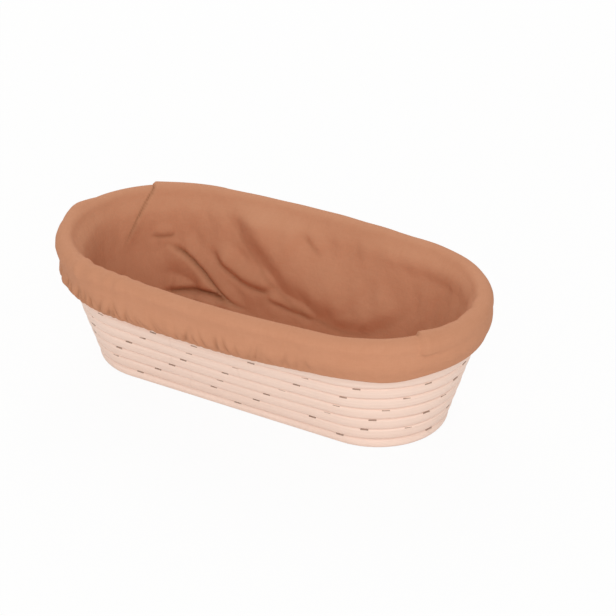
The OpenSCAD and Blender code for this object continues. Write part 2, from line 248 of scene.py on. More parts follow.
class StapleSettings(bpy.types.PropertyGroup):
    """The staples."""
    crown: FloatProperty(name="Crown", description="Length of the crown", default=0.0045, unit="LENGTH")
    leg: FloatProperty(name="Leg", description="Length of a leg", default=0.012, unit="LENGTH")
    width: FloatProperty(name="Wire width", description="Width of the wire", default=0.0008, unit="LENGTH")
    thickness: FloatProperty(
        name="Wire thickness", description="Thickness of the wire", default=0.0006, unit="LENGTH")
    step: FloatProperty(name="Step", description="Spacing along a course", default=0.033, unit="LENGTH")
    shift: FloatProperty(
        name="Shift", description="Shift from one course to the next", default=0.009, unit="LENGTH")
    stray: FloatProperty(
        name="Stray", description="Stray of a staple from its even spacing", default=0.003, unit="LENGTH")
    colour: FloatVectorProperty(
        name="Colour", description="Colour of the wire", subtype="COLOR", default=srgb(186, 157, 140))


class LinerSettings(bpy.types.PropertyGroup):
    """The cloth liner."""
    thickness: FloatProperty(
        name="Thickness", description="Thickness of the cloth", default=0.0007, unit="LENGTH")
    columns: IntProperty(name="Columns", description="Faces around the band", default=550, min=120, max=560)
    folds: FloatProperty(
        name="Folds", description="Share of the folds' height", default=1, min=0, max=1, subtype="FACTOR")
    gathers: FloatProperty(
        name="Gathers", description="Stand of the gathered cloth at the hem", default=0.0024, unit="LENGTH")
    thread: FloatProperty(
        name="Thread", description="Spacing of the threads of the weave", default=0.0006, unit="LENGTH")
    colour: FloatVectorProperty(
        name="Colour", description="Colour of the cloth", subtype="COLOR", default=srgb(206, 149, 118))
    shade: FloatVectorProperty(
        name="Shade", description="Colour of the deeper dyed threads", subtype="COLOR",
        default=srgb(195, 136, 104))


class StageSettings(bpy.types.PropertyGroup):
    """Floor, lamps and camera."""
    floor: FloatVectorProperty(
        name="Floor", description="Colour of the floor", subtype="COLOR", default=srgb(240, 240, 240))
    key: FloatProperty(
        name="Key", description="Power of the large lamp at the front", default=15.2, unit="POWER")
    fill: FloatProperty(name="Fill", description="Strength of the even light all round", default=0.65)
    lens: FloatProperty(
        name="Lens", description="Focal length of the camera, in millimetres", default=133.41)


# Shape of the basket


def ease(t):
    """Smooth step from 0 to 1."""
    t = np.clip(t, 0, 1)
    return t*t*(3 - 2*t)


def hump(t, centre, spread):
    """A smooth hump that is 1 at its centre."""
    return np.exp(-((t - centre)/spread)**2)


def belt(t, start, rise, end, fall):
    """A share that comes up from 0 at its start and is 0 again at its end."""
    return ease((t - start)/rise)*ease((end - t)/fall)


def way_along(points):
    """Length along a line of points, at each of them."""
    return np.concatenate([[0], np.cumsum(np.linalg.norm(np.diff(points, axis=0), axis=1))])


def outline(j, rho):
    """Outline at stations j, at the distance rho from the line that joins the two end centres."""
    j = np.asarray(j, float) % STATIONS
    middle = STRAIGHT*np.interp(j, LOOP_MARKS, (-1, -1, 1, 1, -1))
    turn = np.radians(np.interp(j, LOOP_MARKS, (90, 270, 270, 450, 450)))
    return middle + rho*np.cos(turn), rho*np.sin(turn)


def on_basket(j, rho, z):
    """Points of the outline with the bow of the long sides, which grows with the height."""
    x, y = outline(j, rho)
    bow = SIDE_BOW*np.maximum(0, z - BASE_Z)/WALL_H
    y = y*(1 + bow/np.maximum(rho, 1e-6)*np.cos(np.pi/2*x/(STRAIGHT + rho))**2)
    return np.stack(np.broadcast_arrays(x, y, z), -1)


def course(n):
    """Distance and height of a course: the loops of the base, then those of the wall."""
    if n <= BASE_LOOPS:
        return np.array([(n + 0.5)*PITCH, BASE_Z])
    rise = (n - BASE_LOOPS)*PITCH
    return np.array([BASE_RHO + rise*math.sin(FLARE), BASE_Z + rise*math.cos(FLARE)])


def lean(n):
    """Angle from upright of the way from a course to the next."""
    return math.pi/2 if n <= BASE_LOOPS else FLARE


def climb(j):
    """Share of the way to the next course, at the end of a loop."""
    return ease((j - CLIMB_FROM)/(STATIONS - CLIMB_FROM))


def wound(n, j):
    """Distance and height of the cane of course n at station j."""
    return course(n) + (course(n + 1) - course(n))*climb(j)


def loop_stations(end_parts, side_parts):
    """Stations round one loop, with each end and each side in even parts."""
    end, side = END_STEPS*np.arange(end_parts)/end_parts, SIDE_STEPS*np.arange(side_parts)/side_parts
    return np.concatenate([end, FRONT_FROM + side, RIGHT_FROM + end, BACK_FROM + side])


def cane_rings(first, last, starts, ends):
    """Rings of one length of cane: distance, height, station and share of the full section."""
    def shaved(n, j, room, side):
        share = min(1, (room*PITCH - GAP)/(PITCH - GAP))
        toward = np.array([math.sin(lean(n)), math.cos(lean(n))])
        rho, z = course(n) + side*(PITCH - GAP)/2*(1 - share)*toward
        return rho, z, j, share

    if starts:
        for j in np.linspace(SHAVED_FROM, STATIONS, SHAVED_RINGS, endpoint=False):
            yield shaved(first, j, climb(j), -1)
    for n in range(first, last + 1):
        for j in loop_stations(*CANE_PARTS):
            if not (ends and n == last and j >= CLIMB_FROM):
                yield *wound(n, j), j, 1.0
    if ends:
        for j in np.linspace(CLIMB_FROM, SHAVED_TO, SHAVED_RINGS + 1):
            yield shaved(last, j, 1 - climb(j), 1)
    else:
        yield *course(last + 1), 0.0, 1.0


# Making pieces


def mesh_of(name, bm):
    """A mesh made of a bmesh."""
    mesh = bpy.data.meshes.new(name)
    bm.to_mesh(mesh)
    bm.free()
    return mesh


def new_object(name, data):
    """A new object in the scene."""
    made = bpy.data.objects.new(name, data)
    bpy.context.scene.collection.objects.link(made)
    return made


def finish_piece(name, bm, material, body, nodes):
    """Makes a piece of a bmesh, gives it its finish and sets it in the frame."""
    for face in bm.faces:
        face.smooth = True
    piece = new_object(name, mesh_of(name, bm))
    piece.data.materials.append(material)
    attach(piece, body)
    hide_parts(*nodes)
    return piece


def refinish(node, material):
    """Gives a node that keeps its own shape a new finish."""
    node.data.materials.clear()
    node.data.materials.append(material)


def new_part(extruded, kind):
    """The new vertices or edges of an extrusion."""
    return [e for e in extruded["geom"] if isinstance(e, kind)]


def sweep(bm, frames, along, squareness):
    """Extrudes a rounded section from frame to frame, and keeps each vertex's place as its grain."""
    grain = bm.verts.layers.float_vector.new("grain")
    ring = bmesh.ops.create_circle(bm, cap_ends=True, segments=SECTION_SIDES, radius=1)["verts"]
    for v in ring:
        v.co = [math.copysign(abs(c)**(2/squareness), c) for c in v.co]
        v.co.y *= 1 - FACE_CROWN*v.co.x**2
        v[grain] = Vector((along[0], v.co.x, v.co.y))
    edges = list({e for v in ring for e in v.link_edges})
    bmesh.ops.transform(bm, matrix=frames[0], verts=ring)
    for k in range(1, len(frames)):
        extruded = bmesh.ops.extrude_edge_only(bm, edges=edges)
        ring = new_part(extruded, bmesh.types.BMVert)
        held = set(ring)
        edges = [e for e in new_part(extruded, bmesh.types.BMEdge) if held.issuperset(e.verts)]
        bmesh.ops.transform(bm, matrix=frames[k] @ frames[k - 1].inverted(), verts=ring)
        back = frames[k].inverted()
        for v in ring:
            place = back @ v.co
            v[grain] = Vector((along[k], place.x, place.y))
    bmesh.ops.contextual_create(bm, geom=edges)
    bmesh.ops.recalc_face_normals(bm, faces=bm.faces)


def cane_frames(rings, angle, cane, seed):
    """Frames along a length of cane, x toward the next course and y out of the wall, and the way to
    each. A shaved end keeps half its depth."""
    rho, z, j, share = rings.T
    points = on_basket(j, rho, z)
    ways = np.gradient(points, axis=0)
    along = way_along(points)
    draw = random.Random(seed)
    waves = [(draw.uniform(*WAVER_RATE), draw.uniform(0, FULL_TURN)) for _ in range(WAVER_COUNT)]
    frames = []
    for point, way, s, q in zip(points, ways, along, share):
        out = Vector((way[1], -way[0], 0)).normalized()
        face = math.cos(angle)*out - math.sin(angle)*UP
        toward = math.sin(angle)*out + math.cos(angle)*UP
        stray = sum(math.sin(rate*s + phase) for rate, phase in waves)/len(waves)
        depth = 1 + DEPTH_WAVER*math.sin(waves[0][0]*s + waves[1][1])
        centre = Matrix.Translation(Vector(point) + cane.waver*stray*face)
        turn = Matrix((toward, face, toward.cross(face))).transposed().to_4x4()
        size = Matrix.Diagonal((cane.height/2*q, cane.depth/2*(0.5 + 0.5*q)*depth, 1, 1))
        frames.append(centre @ turn @ size)
    return frames, along


def staple_sites(n, staples):
    """Places of the staples of a course: the middle of the crown and its way along."""
    guide = course(BASE_LOOPS + round(2*WALL_COURSES/3))[0]
    end = 2*END_STEPS*guide*math.sin(math.pi/2/END_STEPS)
    side = 2*STRAIGHT
    length = 2*(end + side)
    count = 2*int(length/staples.step/2)

    def station(d):
        return np.interp(d % length, (0, end, end + side, 2*end + side, length), LOOP_MARKS)

    def point(d):
        return on_basket(station(d), *wound(n, station(d)))

    shaved_loop = n in (BASE_LOOPS, BASE_LOOPS + 1, LAST_COURSE)
    for i in range(count//2 if n <= BASE_LOOPS else count):
        if n <= BASE_LOOPS:
            d = length*(2*i + 1 + n % 2)/count
        else:
            stray = staples.stray*math.sin(math.radians(COURSE_TURN*n + STAPLE_TURN*i))
            d = length*(i + 0.5)/count + (n - BASE_LOOPS - 1)*staples.shift + stray
        d %= length
        if min(d, length - d) < staples.crown:
            continue
        start, stop = point(d - staples.crown/2), point(d + staples.crown/2)
        middle = Vector((start + stop)/2)
        on_end = n == 1 and abs(middle.x) > STRAIGHT - staples.crown
        if on_end or (shaved_loop and station(d) > CLIMB_FROM):
            continue
        yield middle, Vector(stop - start).normalized()


def staple_mesh(staples):
    """One staple: crown along x, legs down, made from its outline."""
    crown, leg, t, w = staples.crown, staples.leg, staples.thickness, staples.width
    half = crown/2
    bm = bmesh.new()
    line = [(-half, t/2), (half, t/2), (half, t - leg), (half - t, -leg), (half - t, -t/2),
            (t - half, -t/2), (t - half, -leg), (-half, t - leg)]
    face = bm.faces.new([bm.verts.new((x, -w/2, z)) for x, z in line])
    side = bmesh.ops.extrude_face_region(bm, geom=[face])
    bmesh.ops.translate(bm, vec=(0, w, 0), verts=new_part(side, bmesh.types.BMVert))
    bmesh.ops.recalc_face_normals(bm, faces=bm.faces)
    bmesh.ops.bevel(bm, geom=bm.edges[:], offset=t/5, segments=1, profile=0.5, affect="EDGES", material=-1)
    return mesh_of("staple", bm)


def crown_place(n, cane):
    """Crown of a staple from the middle of its course, out and up: in the groove above the course."""
    if n < BASE_LOOPS:
        return BASE_CROWN*cane.depth*math.sqrt(0.5)*np.array([1, 1])
    up, out = WALL_CROWN_UP*cane.height, WALL_CROWN_OUT*cane.depth
    return np.array([out*math.cos(FLARE) + up*math.sin(FLARE), up*math.cos(FLARE) - out*math.sin(FLARE)])


def driven(n, middle, way, cane, draw):
    """Place of a staple of course n. Its legs point at the middle of the course before."""
    crown = crown_place(n, cane)
    leg = -PITCH*np.array([math.sin(lean(n)), math.cos(lean(n))]) - crown
    leg_out, leg_up = (float(c) for c in leg/np.linalg.norm(leg))
    crown_out, crown_up = (float(c) for c in crown)
    out = Vector((way.y, -way.x, 0)).normalized()
    up = -leg_out*out - leg_up*UP
    along = out.cross(up).normalized()
    if along.dot(way) < 0:
        along = -along
    turn = Matrix((along, up.cross(along), up)).transposed().to_4x4()
    sunk = Matrix.Translation((0, 0, -draw.uniform(0, STAPLE_SINK)))
    tilt = Matrix.Rotation(draw.uniform(-STAPLE_TILT, STAPLE_TILT), 4, "Y")
    return Matrix.Translation(middle + crown_out*out + crown_up*UP) @ turn @ sunk @ tilt


# The section of the liner. A row holds its distance, its height, the angle that the cloth faces, its share
# of the gathers and its share of the hem's rise.


def wall_rho(z, out):
    """Distance of a point beside the wall's centre line."""
    return BASE_RHO + (z - BASE_Z)*math.tan(FLARE) + out/math.cos(FLARE)


def steps(count):
    """Shares of the way in even steps, without the start."""
    return np.linspace(0, 1, count + 1)[1:]


def bend_rows():
    """The bend from the floor to the wall."""
    heart = wall_rho(BASE_Z + CLOTH_BACK, -CLOTH_BACK) - BEND_BACK*math.tan(math.pi/4 - FLARE/2)
    for a in np.linspace(-math.pi/2, -FLARE, BEND_STEPS + 1):
        yield heart + BEND_MID*math.cos(a), BEND_Z + BEND_MID*math.sin(a), a + math.pi, 0, 0


def wall_rows():
    """The wall, which comes away from the cane a little below the roll."""
    low, high = BEND_Z - BEND_MID*math.sin(FLARE), RIM_Z + CLOTH_MID*math.sin(FLARE)
    for t in steps(WALL_STEPS):
        z = low + (high - low)*t
        depth = CLOTH_MID + (ROLL_R - CLOTH_MID)*ease((t - 0.8)/0.2)
        yield wall_rho(z, -depth), z, math.pi - FLARE, 0, 0


def roll_rows():
    """The roll over the rim, fuller on its inner side."""
    for a in math.pi*(1 - steps(ROLL_STEPS)) - FLARE:
        r = ROLL_R*(1 + ROLL_FULLER*math.sin(2*max(0, a - math.pi/2))**2)
        yield RIM_RHO + r*math.cos(a), RIM_Z + r*math.sin(a), a, 0, 0


def cuff_rows():
    """The cuff outside, down to the casing."""
    top = RIM_Z - ROLL_R*math.sin(FLARE)
    for t in steps(CUFF_STEPS):
        z = top + (CASING_TOP - top)*t
        out = ROLL_R + (CASING_OUT - ROLL_R)*t + CUFF_BELLY*math.sin(math.pi*t**1.4)
        yield wall_rho(z, out), z, -FLARE, CASING_GATHER*ease((t - 0.2)/0.7), t


def casing_rows():
    """The casing of the elastic: its front, its turn at the hem and its back."""
    for t in steps(FRONT_STEPS):
        z = CASING_TOP + (TURN_Z - CASING_TOP)*t
        gather = CASING_GATHER + (HEM_GATHER - CASING_GATHER)*t
        yield wall_rho(z, CASING_OUT), z, -FLARE, gather, 1
    for a in math.pi*steps(TURN_STEPS):
        z = TURN_Z - TURN_R*math.sin(a)
        out = CASING_IN + TURN_R*(1 + math.cos(a))
        yield wall_rho(z, out), z, -FLARE, HEM_GATHER*(1 + math.cos(a))/2, 1
    for t in steps(BACK_STEPS):
        z = TURN_Z + (CASING_TOP - BACK_SHORT - TURN_Z)*t
        yield wall_rho(z, CASING_IN), z, -FLARE, 0, 1


def liner_rows():
    """Rows of the band from the floor seam over the rim into the hem, and how many are inside."""
    inside = [*bend_rows(), *wall_rows()]
    return np.array([*inside, *roll_rows(), *cuff_rows(), *casing_rows()]), len(inside)


def band_stations(columns):
    """Stations of the band's columns, the share of the rim's length at each, and that length."""
    j = np.linspace(0, STATIONS, 200*STATIONS + 1)
    length = way_along(on_basket(j, RIM_RHO, RIM_Z))
    close = np.interp(j, *zip(*CLOSENESS))
    count = np.concatenate([[0], np.cumsum(np.diff(length)*(close[1:] + close[:-1])/2)])
    stations = np.interp(np.linspace(0, count[-1], columns + 1), count, j)
    return stations, np.interp(stations, j, length)/length[-1], length[-1]


# Folds, gathers and seams of the cloth


def hem_lift(j):
    """Rise of the hem, from the middle of the basket to its right end."""
    x = on_basket(j, RIM_RHO, RIM_Z)[..., 0]
    return HEM_RISE*np.sin(np.pi/2*np.clip(x/(STRAIGHT + BASE_RHO), 0, 1))**2


def rounded_line(points):
    """A line with its corners cut until it runs smoothly."""
    line = np.array(points, float)
    for _ in range(3):
        a, b = line[:-1], line[1:]
        cut = np.stack([0.75*a + 0.25*b, 0.25*a + 0.75*b], 1).reshape(-1, 2)
        line = np.concatenate([line[:1], cut, line[-1:]])
    return line


def beside_line(x, z, line):
    """Distance to a line, positive on its left, the share of the way along it, and the way to its left."""
    best = np.full(x.shape, 1e9)
    signed, share, nx, nz = (np.zeros(x.shape) for _ in range(4))
    parts = np.diff(line, axis=0)
    lengths = np.linalg.norm(parts, axis=1)
    starts = way_along(line)
    for p, d, length, start in zip(line[:-1], parts/lengths[:, None], lengths, starts):
        t = np.clip((x - p[0])*d[0] + (z - p[1])*d[1], 0, length)
        away = np.hypot(x - p[0] - t*d[0], z - p[1] - t*d[1])
        near = away < best
        best = np.where(near, away, best)
        side = (z - p[1])*d[0] - (x - p[0])*d[1]
        signed = np.where(near, np.where(side >= 0, away, -away), signed)
        share = np.where(near, (start + t)/starts[-1], share)
        nx, nz = np.where(near, -d[1], nx), np.where(near, d[0], nz)
    return signed, share, nx, nz


def fold(x, z, points, height, crest, width, behind, lean_over, shade_strength):
    """Rise of one fold, its lean along x and z, and the painted shade along its valley, in millimetres."""
    d, share, nx, nz = beside_line(x, z, rounded_line(points))
    fade = ease(share/FOLD_IN)*ease((1 - share)/FOLD_OUT)
    front = height*ease(d/crest)*(1 - ease((d - crest)/(width - crest)))
    back = behind*(1 - hump(d, 0, BEHIND_ROUND))*(1 - ease((-d - BEHIND_FLAT)/BEHIND_FADE))
    over = fade*np.interp(share, (0, 1), lean_over)*hump(d, 0.7*crest, 0.9*crest)
    # Painted shade along the valley; wall_folds also presses the fold down by it
    valley = fade*np.interp(share, (0, 1), shade_strength)*hump(d, 0, VALLEY_SHADE_WIDTH)
    return fade*np.where(d > 0, front, back), -over*nx, -over*nz, valley


def undulation(u, v, seed, count, turns, slope=90):
    """A smooth uneven surface from 0 to 1, the same at both ends of u, which goes from 0 to 1."""
    draw = random.Random(seed)
    total = np.zeros(np.broadcast(u, v).shape)
    for _ in range(count):
        rate = 2*np.pi*draw.randint(*turns)
        total = total + np.sin(rate*u + draw.uniform(-slope, slope)*v + draw.uniform(0, FULL_TURN))
    return np.clip(0.5 + total/(2.4*math.sqrt(count)), 0, 1)


def gathers(u, drop, length, station):
    """Stand of the gathered cloth between its creases, and the painted shade in those creases, both from 0
    to 1, at the share u of the rim and the height drop above the hem."""
    draw = random.Random(11)
    puffed = np.ones(np.broadcast(u, drop).shape)
    place = 0.0
    while place < length - 0.003:
        depth = draw.uniform(*PLEAT_DEPTH)
        spread = draw.uniform(*PLEAT_SPREAD)
        reach = draw.uniform(*PLEAT_REACH)
        slant = draw.uniform(*PLEAT_SLANT)
        away = (u*length - place - slant*drop + length/2) % length - length/2
        puffed = puffed*(1 - depth*np.exp(-(np.abs(away)/spread)**1.4)*hump(drop, 0, reach))
        place += draw.uniform(*PLEAT_STEP)
    near = ease(0.35 + 0.9*np.cos(2*np.pi*(station - GATHERED_AT)/STATIONS))
    strength = GATHER_LEAST + (1 - GATHER_LEAST)*near
    # The second value is painted shade in the creases
    return puffed*strength, (1 - puffed)*strength


def lap(j, line, rho, side):
    """A lap seam: height of the cloth on top, stand of its edge in stations, and painted shade along its
    edge.
    """
    arc = rho*math.pi/END_STEPS
    away = side*(line - j)*arc
    under = np.maximum(away, 0)
    top = ease(away/LAP_EDGE)*np.exp(-under/LAP_FADE)
    edge = side*LAP_EDGE/arc*hump(under, 0, LAP_OVER)*(away > 0)
    # The third value is painted shade, a dark line along the lap's edge
    return top, edge, hump(away, -0.0002, LAP_EDGE)


def wall_folds(liner, flat, z, wall):
    """Rise of the wall's folds, their lean along x and z, and the painted shade along their valleys, which
    also presses the folds down.
    """
    x, y = flat[..., 0]*1000, flat[..., 1]
    height = z*1000 + 0*x
    rise, dx, dz, crease_shade = (np.zeros(x.shape) for _ in range(4))
    at_back, at_front = ease((SIDE_EDGE + y)/SIDE_FADE), ease((SIDE_EDGE - y)/SIDE_FADE)
    for folds, side in ((BACK_FOLDS, at_back), (FRONT_FOLDS, at_front)):
        part = liner.folds*side*wall/1000
        for shape in folds:
            up, over_x, over_z, shade_mark = fold(x, height, *shape)
            rise = np.maximum(rise, up*part)
            crease_shade = np.maximum(crease_shade, shade_mark*side*wall)
            dx, dz = dx + over_x*part, dz + over_z*part
    return rise*(1 - CREASE_PRESS*crease_shade), dx, dz, crease_shade


def wall_slack(j, u, z, wall):
    """Rise of the uneven wall, which lies smoother at the ends, and of the slack below the rim."""
    calm = 1 - SMOOTH_SHARE*sum(hump(j, *end) for end in SMOOTH_ENDS)
    broad = undulation(u, z, seed=5, count=9, turns=(2, 9))
    fine = undulation(u, z, seed=8, count=14, turns=(14, 52), slope=320)
    loose = (1 - hump(j, *NO_SLACK))*belt(z - RIM_Z, *SLACK_BELT)
    hang = undulation(u, 0, seed=41, count=7, turns=(2, 11))
    span = hump(j, *SPANNED)*belt(z - RIM_Z, *SPAN_BELT)
    return WALL_UNEVEN*wall*(broad + calm*fine) + RIM_SLACK*loose*hang + RIM_SPAN*span


def cuff_stand(liner, j, u, z, gather, length):
    """Stand of the cuff with its gathers, and the painted shade in their creases."""
    stand, puckers = gathers(u, np.maximum(0, z - HEM_Z - 0.002), length, j)
    crumples = CUFF_CRUMPLE*undulation(u, z, seed=21, count=12, turns=(40, 130), slope=500)
    swells = CUFF_SWELL*undulation(u, z, seed=21, count=8, turns=(3, 14))
    return gather*(stand*(liner.gathers + crumples) + swells), PUCKER_SHADE*gather*puckers


def roll_unevenness(j, u, z, face):
    """Rise of the roll's waves, of its puckers at the front left and of the bumps on its inner side."""
    waves = ROLL_WAVE*undulation(u, 0, seed=33, count=9, turns=(6, 24))
    puckers = ROLL_PUCKER*hump(j, *PUCKERED_ROLL)*undulation(u, 0, seed=34, count=9, turns=(30, 90))
    inner = ease((face - INNER_FROM)/SIDE_TURN)*hump(j, *BUMPY_ROLL)
    bumps = ROLL_BUMP*inner*undulation(u, 0, seed=36, count=9, turns=(20, 60))
    return hump(z - RIM_Z, *ROLL_HEIGHT)*(waves + puckers + bumps)


def outer_stand(j, face, gather, lifted):
    """Rise of the roll where it stands off in a corner, less the hug of the cuff and the hem."""
    station, spread = CORNER
    corner = np.maximum(0, 1 - np.sqrt(((j - station)/spread)**2 + CORNER_ROUND))
    stand_off = CORNER_STAND*corner*ease((OUTER_TO - face)/SIDE_TURN)*(1 - lifted)
    middle = ease(lifted/0.8)*ease((1 - lifted)/0.35)
    return stand_off - hump(j, *HUGGED)*(CUFF_HUG*middle + HEM_HUG*gather)


def band_seams(j, rho, z, face, inside):
    """Rise of the laps that close the band, stand of their edges in stations, and painted shade along their
    edges.
    """
    rise, edges, crease_shade = (np.zeros(np.broadcast(j, z).shape) for _ in range(3))
    inner = face > np.pi/2
    for at_rim, run, high, side, down_in, down_out in SEAMS:
        line = at_rim + run*np.where(inner, RIM_Z + ROLL_R - z, 0)
        low = np.where(inside, down_in, down_out)
        shown = ease((z - RIM_Z + low)/(0.6*low))
        over, edge, shade_mark = lap(j, line, rho, side)
        rise, edges = rise + high*over*shown, edges + edge*shown
        crease_shade = np.maximum(crease_shade, shade_mark*shown*inner)
    return rise, edges, crease_shade


def liner_points(liner):
    """Points of the band row by row, its measures along and down the cloth, and the painted shade of its
    creases.
    """
    rows, rim_row = liner_rows()
    rho, z, face, gather, lifted = (c[:, None] for c in rows.T)
    stations, share, length = band_stations(liner.columns)
    j, u = stations[None, :], share[None, :]
    row = np.arange(len(rows))[:, None]
    inside = row < rim_row
    wall = np.where(inside, belt(z - RIM_Z, *WALL_BELT), 0)

    folds, dx, dz, valleys = wall_folds(liner, on_basket(j, rho, z), z, wall)
    cuff, puckers = cuff_stand(liner, j, u, z, gather, length)
    laps, edges, lap_shade = band_seams(j, rho, z, face, inside)
    rise = np.where(inside, folds + wall_slack(j, u, z, wall), cuff + outer_stand(j, face, gather, lifted))
    rise = rise + roll_unevenness(j, u, z, face) + laps
    # Painted shade of the folds' valleys inside, of the gathers' creases outside and along the laps
    crease_shade = np.maximum(np.where(inside, valleys, puckers), lap_shade)

    sag = HEM_LOWER*hump(j, *LOW_HEM) - HEM_HIGHER*hump(j, *HIGH_HEM)
    lift = lifted*(hem_lift(j) - np.where(row == len(rows) - 1, 0, sag))
    out, up = rho + lift*math.tan(FLARE) + rise*np.cos(face), z + lift + rise*np.sin(face)
    points = on_basket(j + edges, out, up)
    points[..., 0] += dx
    points[..., 2] += dz - GATHER_DROP*np.where(inside, 0, cuff)
    points[:, -1] = points[:, 0]
    across, along = np.broadcast_arrays(u*length, way_along(rows[:, :2])[:, None])
    return points, across, along, crease_shade


def floor_points(edge):
    """Points of the floor panel, ring by ring from its edge inward, softly rumpled."""
    shares = np.array(FLOOR_RINGS)[:, None]
    j = np.append(loop_stations(*FLOOR_PARTS), STATIONS)[None, :]
    points = on_basket(j, edge*shares, BASE_Z + CLOTH_MID + 0*j*shares)
    x, y = points[..., 0], points[..., 1]
    rumple = np.sin(61*x + 47*y)*np.sin(83*y - 29*x + 1) + 0.5*np.sin(150*x + 2)*np.sin(170*y)
    points[..., 2] += FLOOR_RUMPLE*(rumple*ease((1 - shares)/0.2) - ease((shares - 0.95)/0.05))
    return points


def laid_sheet(points, across, along, crease_shade):
    """A sheet of cloth laid at its points, with the painted shade of its creases and its own measures as its
    UV map. Also the column and row of each vertex."""
    rows, columns = points.shape[0] - 1, points.shape[1] - 1
    bm = bmesh.new()
    creases = bm.verts.layers.float.new("crease_shade")
    bmesh.ops.create_grid(bm, x_segments=columns, y_segments=rows, size=1)
    places = {v: (round((v.co.x + 1)/2*columns), round((v.co.y + 1)/2*rows)) for v in bm.verts}
    for v, (i, k) in places.items():
        v.co = points[k, i]
        v[creases] = crease_shade[k, i]
    layer = bm.loops.layers.uv.new("cloth")
    for face in bm.faces:
        for loop in face.loops:
            i, k = places[loop.vert]
            loop[layer].uv = (across[k, i], along[k, i])
    return bm, places


def finish_cloth(name, bm, material, nodes, liner):
    """Makes a piece of the liner, with half its thickness to each side of the sheet."""
    bmesh.ops.recalc_face_normals(bm, faces=bm.faces)
    piece = finish_piece(name, bm, material, "liner", nodes)
    solid = piece.modifiers.new("thickness", "SOLIDIFY")
    solid.thickness, solid.offset = liner.thickness, 0
    return piece


# Nodes


def set_inputs(tree, node, values):
    """Sets or links inputs of a node."""
    for key, value in values.items():
        if isinstance(value, bpy.types.NodeSocket):
            tree.links.new(value, node.inputs[key])
        else:
            node.inputs[key].default_value = value


def add(tree, kind, values=None, **settings):
    """Adds a node, sets its options, and sets or links its inputs."""
    node = tree.nodes.new(kind)
    for key, value in settings.items():
        setattr(node, key, value)
    set_inputs(tree, node, values or {})
    return node


def math_node(tree, operation, *inputs):
    """The result of a calculation with one to three inputs."""
    return add(tree, "ShaderNodeMath", dict(enumerate(inputs)), operation=operation).outputs[0]


def times(tree, a, b):
    """The product of two values."""
    return math_node(tree, "MULTIPLY", a, b)


def stretch(tree, place, by):
    """A place that is scaled along each axis."""
    return add(tree, "ShaderNodeVectorMath", {0: place, 1: by}, operation="MULTIPLY").outputs[0]


def noise(tree, place, scale=1.0, detail=2.0, roughness=0.5):
    """The value of a noise texture."""
    values = {"Vector": place, "Scale": scale, "Detail": detail, "Roughness": roughness}
    return add(tree, "ShaderNodeTexNoise", values).outputs["Fac"]


def map_range(tree, value, low=0.0, high=1.0, to_low=0.0, to_high=1.0):
    """A value brought from one range into another."""
    values = {"Value": value, "From Min": low, "From Max": high, "To Min": to_low, "To Max": to_high}
    return add(tree, "ShaderNodeMapRange", values).outputs[0]


def bump(tree, height, strength, distance, **others):
    """A normal that is tilted by a height."""
    values = {"Height": height, "Strength": strength, "Distance": distance, **others}
    return add(tree, "ShaderNodeBump", values).outputs[0]


def mix_colour(tree, share, a, b):
    """Two colours mixed by a share."""
    def as_input(colour):
        return colour if isinstance(colour, bpy.types.NodeSocket) else (*colour, 1)

    values = {0: share, 6: as_input(a), 7: as_input(b)}
    return add(tree, "ShaderNodeMix", values, data_type="RGBA").outputs[2]


def new_group(name, inputs, outputs):
    """A shader node group with named sockets."""
    tree = bpy.data.node_groups.new(name, "ShaderNodeTree")
    for label, kind in inputs:
        tree.interface.new_socket(label, in_out="INPUT", socket_type=kind)
    for label in outputs:
        tree.interface.new_socket(label, in_out="OUTPUT", socket_type="NodeSocketFloat")
    return tree, add(tree, "NodeGroupInput").outputs, add(tree, "NodeGroupOutput")


def fibre_group():
    """Fibres of peeled cane: streaks along it, its tint, joints across it and a height for the bump."""
    if "Cane fibres" in bpy.data.node_groups:
        return bpy.data.node_groups["Cane fibres"]
    labels = ("Streak", "Tint", "Joint", "Height")
    tree, given, out = new_group("Cane fibres", [("Place", "NodeSocketVector")], labels)
    place = given["Place"]
    fine = noise(tree, stretch(tree, place, (26, 2600, 2600)), detail=3.0, roughness=0.6)
    broad = noise(tree, stretch(tree, place, (7, 520, 520)), detail=3.0, roughness=0.55)
    tint = noise(tree, stretch(tree, place, (4, 90, 90)))
    streak = math_node(tree, "ADD", times(tree, fine, 0.5), times(tree, broad, 0.5))
    way = add(tree, "ShaderNodeSeparateXYZ", {0: place}).outputs[0]
    strayed = math_node(tree, "ADD", way, times(tree, broad, 0.004))
    from_joint = math_node(tree, "ABSOLUTE", math_node(tree, "WRAP", strayed, JOINT_APART, -JOINT_APART))
    joint = map_range(tree, from_joint, 0.0, JOINT_WIDTH, 1.0, 0.0)
    height = math_node(tree, "SUBTRACT", streak, times(tree, joint, 0.25))
    streaks = map_range(tree, streak, 0.36, 0.64)
    set_inputs(tree, out, {"Streak": streaks, "Tint": tint, "Joint": joint, "Height": height})
    return tree


